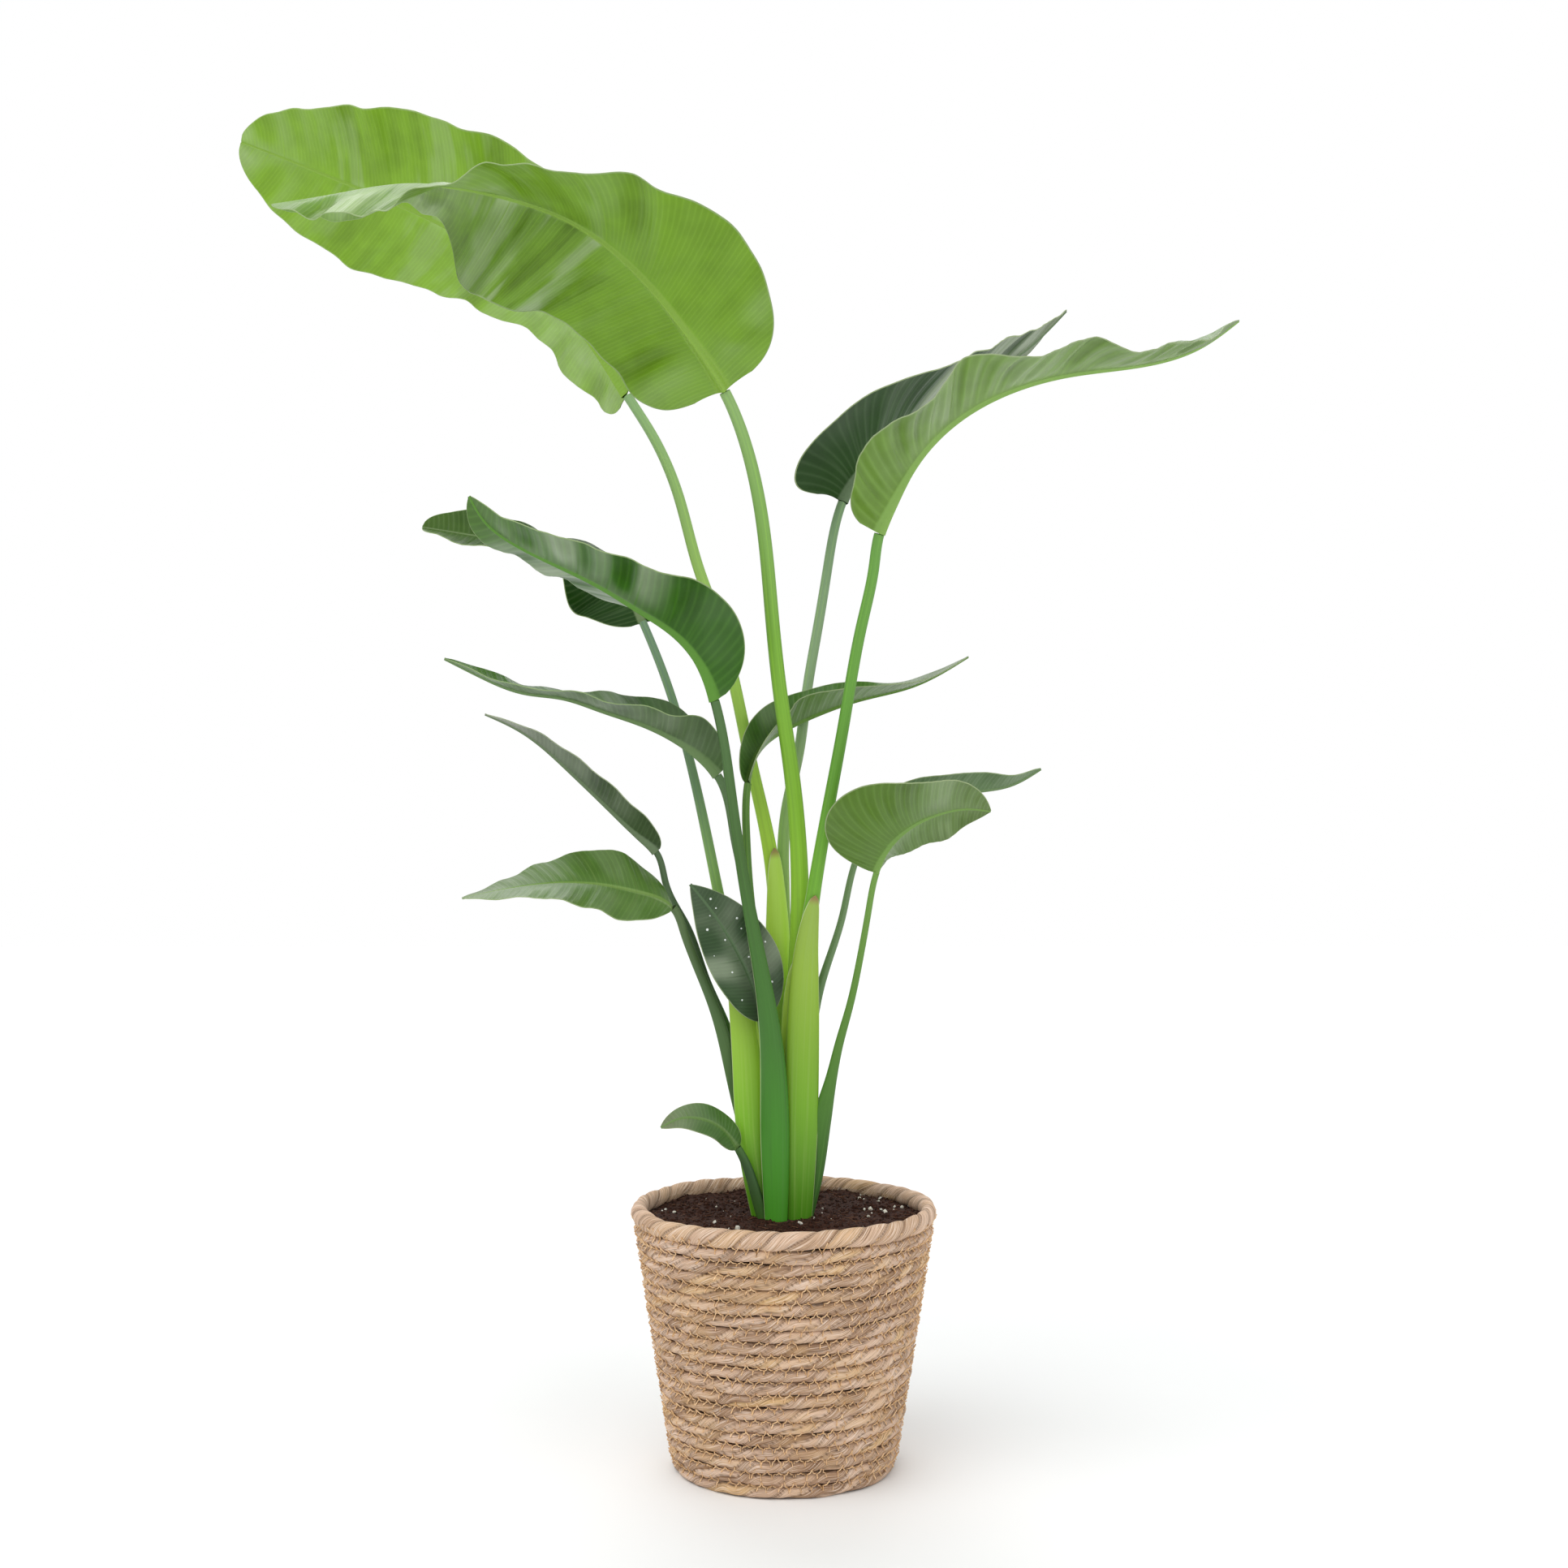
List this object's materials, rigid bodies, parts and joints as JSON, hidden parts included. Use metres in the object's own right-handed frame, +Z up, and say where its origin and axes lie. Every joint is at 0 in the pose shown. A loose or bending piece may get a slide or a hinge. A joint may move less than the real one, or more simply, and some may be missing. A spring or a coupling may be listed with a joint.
{
  "type": "potted bird of paradise",
  "caption": "Bird of paradise plant: long-stalked, folded paddle leaves fanning from one clump, potted in a round tapering basket of coiled seagrass rope.",
  "frame": {"origin": "centre of the flat underside of the basket, on the surface that it stands on", "axes": "+Z up the plant, +X to the right and +Y to the back as seen from the front"},
  "size_m": [0.8921, 0.4396, 1.2206],
  "materials": {
    "seagrass": "matte",
    "soil": "matte",
    "crown": "matte",
    "stalk": "satin",
    "leaf": "satin",
    "young_leaf": "satin"
  },
  "bodies": {
    "root": {"basket_base": "seagrass", "basket_wall": "seagrass", "basket_rim": "seagrass", "soil": "soil", "crown": "crown", "stalk_top_front": "stalk", "blade_top_front": "young_leaf", "stalk_top_back": "stalk", "blade_top_back": "young_leaf", "stalk_left_upper_front": "stalk", "blade_left_upper_front": "leaf", "stalk_left_upper_back": "stalk", "blade_left_upper_back": "leaf", "stalk_left_long": "stalk", "blade_left_long": "leaf", "stalk_left_slim": "stalk", "blade_left_slim": "leaf", "stalk_left_broad": "stalk", "blade_left_broad": "leaf", "stalk_base_sickle": "stalk", "blade_base_sickle": "leaf", "stalk_centre_dewy": "stalk", "blade_centre_dewy": "leaf", "stalk_right_slim": "stalk", "blade_right_slim": "leaf", "stalk_right_upper_front": "stalk", "blade_right_upper_front": "leaf", "stalk_right_upper_back": "stalk", "blade_right_upper_back": "leaf", "stalk_right_cupped": "stalk", "blade_right_cupped": "leaf", "stalk_right_pointed": "stalk", "blade_right_pointed": "leaf"}
  },
  "joints": []
}
